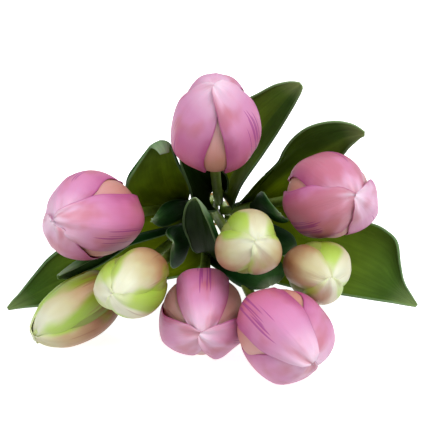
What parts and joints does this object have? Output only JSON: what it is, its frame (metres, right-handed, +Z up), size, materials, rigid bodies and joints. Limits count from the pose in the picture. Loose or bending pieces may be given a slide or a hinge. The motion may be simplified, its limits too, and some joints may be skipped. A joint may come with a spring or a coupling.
{
  "type": "artificial tulip bouquet",
  "caption": "Bouquet of artificial tulips, pink blooms and cream-green buds that swivel on wired stems, with broad folded leaves, held by an elastic band and lying on its side.",
  "frame": {"origin": "bottom centre of the bouquet's box, on the surface that it lies on", "axes": "+Y along the bouquet towards the cut stem ends, heads towards -Y; +Z up; +X to the right as seen from the heads"},
  "size_m": [0.2314, 0.3372, 0.1498],
  "materials": {
    "bloom_outer_petal": "soft coated foam, lilac pink with magenta streaks",
    "bloom_inner_petal": "soft coated foam, salmon pink",
    "bud_outer_petal": "soft coated foam, cream with lime green and a rose blush",
    "bud_inner_petal": "soft coated foam, pale green",
    "bloom_core": "moulded, pale green",
    "bud_core": "foam, pale green",
    "stem_sleeve": "moulded, satin",
    "stem_wire": "drawn wire",
    "leaf": "coated sheet with pressed veins, satin",
    "elastic_band": "natural rubber"
  },
  "bodies": {
    "bunch": {"top_bloom_stem": "stem_sleeve", "top_bloom_wire": "stem_wire", "left_bloom_stem": "stem_sleeve", "left_bloom_wire": "stem_wire", "right_bloom_stem": "stem_sleeve", "right_bloom_wire": "stem_wire", "front_bloom_stem": "stem_sleeve", "front_bloom_wire": "stem_wire", "low_bloom_stem": "stem_sleeve", "low_bloom_wire": "stem_wire", "middle_bud_stem": "stem_sleeve", "middle_bud_wire": "stem_wire", "right_bud_stem": "stem_sleeve", "right_bud_wire": "stem_wire", "left_bud_stem": "stem_sleeve", "left_bud_wire": "stem_wire", "drooping_bud_stem": "stem_sleeve", "drooping_bud_wire": "stem_wire"},
    "top_bloom_head": {"top_bloom_core": "bloom_core", "top_bloom_inner_petals": "bloom_inner_petal", "top_bloom_outer_petals": "bloom_outer_petal"},
    "left_bloom_head": {"left_bloom_core": "bloom_core", "left_bloom_inner_petals": "bloom_inner_petal", "left_bloom_outer_petals": "bloom_outer_petal"},
    "right_bloom_head": {"right_bloom_core": "bloom_core", "right_bloom_inner_petals": "bloom_inner_petal", "right_bloom_outer_petals": "bloom_outer_petal"},
    "front_bloom_head": {"front_bloom_core": "bloom_core", "front_bloom_inner_petals": "bloom_inner_petal", "front_bloom_outer_petals": "bloom_outer_petal"},
    "low_bloom_head": {"low_bloom_core": "bloom_core", "low_bloom_inner_petals": "bloom_inner_petal", "low_bloom_outer_petals": "bloom_outer_petal"},
    "middle_bud_head": {"middle_bud_core": "bud_core", "middle_bud_inner_petals": "bud_inner_petal", "middle_bud_outer_petals": "bud_outer_petal"},
    "right_bud_head": {"right_bud_core": "bud_core", "right_bud_inner_petals": "bud_inner_petal", "right_bud_outer_petals": "bud_outer_petal"},
    "left_bud_head": {"left_bud_core": "bud_core", "left_bud_inner_petals": "bud_inner_petal", "left_bud_outer_petals": "bud_outer_petal"},
    "drooping_bud_head": {"drooping_bud_core": "bud_core", "drooping_bud_inner_petals": "bud_inner_petal", "drooping_bud_outer_petals": "bud_outer_petal"},
    "leaf_top_right_blade": {"leaf_top_right": "leaf"},
    "leaf_right_high_blade": {"leaf_right_high": "leaf"},
    "leaf_right_low_blade": {"leaf_right_low": "leaf"},
    "leaf_left_low_blade": {"leaf_left_low": "leaf"},
    "leaf_left_fold_blade": {"leaf_left_fold": "leaf"},
    "leaf_left_high_blade": {"leaf_left_high": "leaf"},
    "leaf_top_left_blade": {"leaf_top_left": "leaf"},
    "leaf_middle_blade": {"leaf_middle": "leaf"},
    "leaf_middle_left_blade": {"leaf_middle_left": "leaf"},
    "leaf_left_inner_blade": {"leaf_left_inner": "leaf"},
    "leaf_right_inner_blade": {"leaf_right_inner": "leaf"},
    "leaf_low_inner_blade": {"leaf_low_inner": "leaf"},
    "leaf_right_back_blade": {"leaf_right_back": "leaf"},
    "band": {"elastic_band": "elastic_band"}
  },
  "joints": [
    {"name": "top_bloom_swivel", "type": "hinge", "parent": "bunch", "child": "top_bloom_head", "pos_m": [0.00239, -0.06222, 0.10554], "axis": [0.018, -0.7133, 0.7006], "continuous": true},
    {"name": "left_bloom_swivel", "type": "hinge", "parent": "bunch", "child": "left_bloom_head", "pos_m": [-0.05262, -0.06044, 0.06645], "axis": [-0.4537, -0.8701, 0.1926], "continuous": true},
    {"name": "right_bloom_swivel", "type": "hinge", "parent": "bunch", "child": "right_bloom_head", "pos_m": [0.05709, -0.0546, 0.07479], "axis": [0.3243, -0.9128, 0.2483], "continuous": true},
    {"name": "front_bloom_swivel", "type": "hinge", "parent": "bunch", "child": "front_bloom_head", "pos_m": [0.03043, -0.11297, 0.02366], "axis": [0.3201, -0.9474, -0.003], "continuous": true},
    {"name": "low_bloom_swivel", "type": "hinge", "parent": "bunch", "child": "low_bloom_head", "pos_m": [-0.00399, -0.07643, 0.02088], "axis": [0, -0.999, 0.0436], "continuous": true},
    {"name": "middle_bud_swivel", "type": "hinge", "parent": "bunch", "child": "middle_bud_head", "pos_m": [0.01708, -0.08798, 0.05798], "axis": [0.124, -0.9482, 0.2926], "continuous": true},
    {"name": "right_bud_swivel", "type": "hinge", "parent": "bunch", "child": "right_bud_head", "pos_m": [0.05296, -0.0812, 0.04352], "axis": [0.1598, -0.9734, 0.1639], "continuous": true},
    {"name": "left_bud_swivel", "type": "hinge", "parent": "bunch", "child": "left_bud_head", "pos_m": [-0.03365, -0.09289, 0.04244], "axis": [-0.2926, -0.9527, 0.082], "continuous": true},
    {"name": "drooping_bud_swivel", "type": "hinge", "parent": "bunch", "child": "drooping_bud_head", "pos_m": [-0.05558, -0.07236, 0.02794], "axis": [-0.7969, -0.4488, -0.4044], "continuous": true},
    {"name": "leaf_top_right_bend", "type": "hinge", "parent": "bunch", "child": "leaf_top_right_blade", "pos_m": [0.00722, 0.06028, 0.04396], "axis": [-0.7635, 0.2283, 0.6041], "range_deg": [-4, 12]},
    {"name": "leaf_right_high_bend", "type": "hinge", "parent": "bunch", "child": "leaf_right_high_blade", "pos_m": [0.01632, 0.03793, 0.04587], "axis": [-0.9314, -0.3543, -0.0838], "range_deg": [-1, 5]},
    {"name": "leaf_right_low_bend", "type": "hinge", "parent": "bunch", "child": "leaf_right_low_blade", "pos_m": [0.0182, 0.05663, 0.02642], "axis": [0.4996, 0.239, 0.8326], "range_deg": [-4, 6]},
    {"name": "leaf_left_low_bend", "type": "hinge", "parent": "bunch", "child": "leaf_left_low_blade", "pos_m": [-0.0145, 0.05638, 0.02611], "axis": [0.3418, -0.1824, -0.9219], "range_deg": [-8, 3]},
    {"name": "leaf_left_fold_bend", "type": "hinge", "parent": "bunch", "child": "leaf_left_fold_blade", "pos_m": [-0.01032, 0.01973, 0.04124], "axis": [-0.9849, 0.1258, -0.1188], "range_deg": [-0.4, 2]},
    {"name": "leaf_left_high_bend", "type": "hinge", "parent": "bunch", "child": "leaf_left_high_blade", "pos_m": [-0.01672, 0.02125, 0.05189], "axis": [-0.8341, 0.2154, -0.5078], "range_deg": [-1, 15]},
    {"name": "leaf_top_left_bend", "type": "hinge", "parent": "bunch", "child": "leaf_top_left_blade", "pos_m": [0.00156, 0.02278, 0.05844], "axis": [-0.7632, -0.2335, -0.6025], "range_deg": [-2, 3]},
    {"name": "leaf_middle_bend", "type": "hinge", "parent": "bunch", "child": "leaf_middle_blade", "pos_m": [-0.00091, -0.00633, 0.02923], "axis": [-0.876, -0.0126, 0.4821], "range_deg": [-3, 4]},
    {"name": "leaf_middle_left_bend", "type": "hinge", "parent": "bunch", "child": "leaf_middle_left_blade", "pos_m": [-0.01039, -0.00779, 0.03988], "axis": [-0.1716, 0.08, 0.9819], "range_deg": [-1, 2]},
    {"name": "leaf_left_inner_bend", "type": "hinge", "parent": "bunch", "child": "leaf_left_inner_blade", "pos_m": [-0.00841, 0.02848, 0.04593], "axis": [0.2073, 0.1522, 0.9664], "range_deg": [-1, 3]},
    {"name": "leaf_right_inner_bend", "type": "hinge", "parent": "bunch", "child": "leaf_right_inner_blade", "pos_m": [0.02397, 0.00952, 0.04954], "axis": [0.5684, -0.0592, -0.8206], "range_deg": [-1, 10]},
    {"name": "leaf_low_inner_bend", "type": "hinge", "parent": "bunch", "child": "leaf_low_inner_blade", "pos_m": [0.00876, 0.01389, 0.03328], "axis": [-0.9063, -0.0892, -0.4132], "range_deg": [-0.4, 3]},
    {"name": "leaf_right_back_bend", "type": "hinge", "parent": "bunch", "child": "leaf_right_back_blade", "pos_m": [0.01957, 0.02622, 0.03588], "axis": [-0.7597, -0.274, -0.5898], "range_deg": [-1, 3]},
    {"name": "band_slide", "type": "slide", "parent": "bunch", "child": "band", "axis": [0, -0.9724, 0.2334], "range_m": [-0.055, 0.008]}
  ]
}
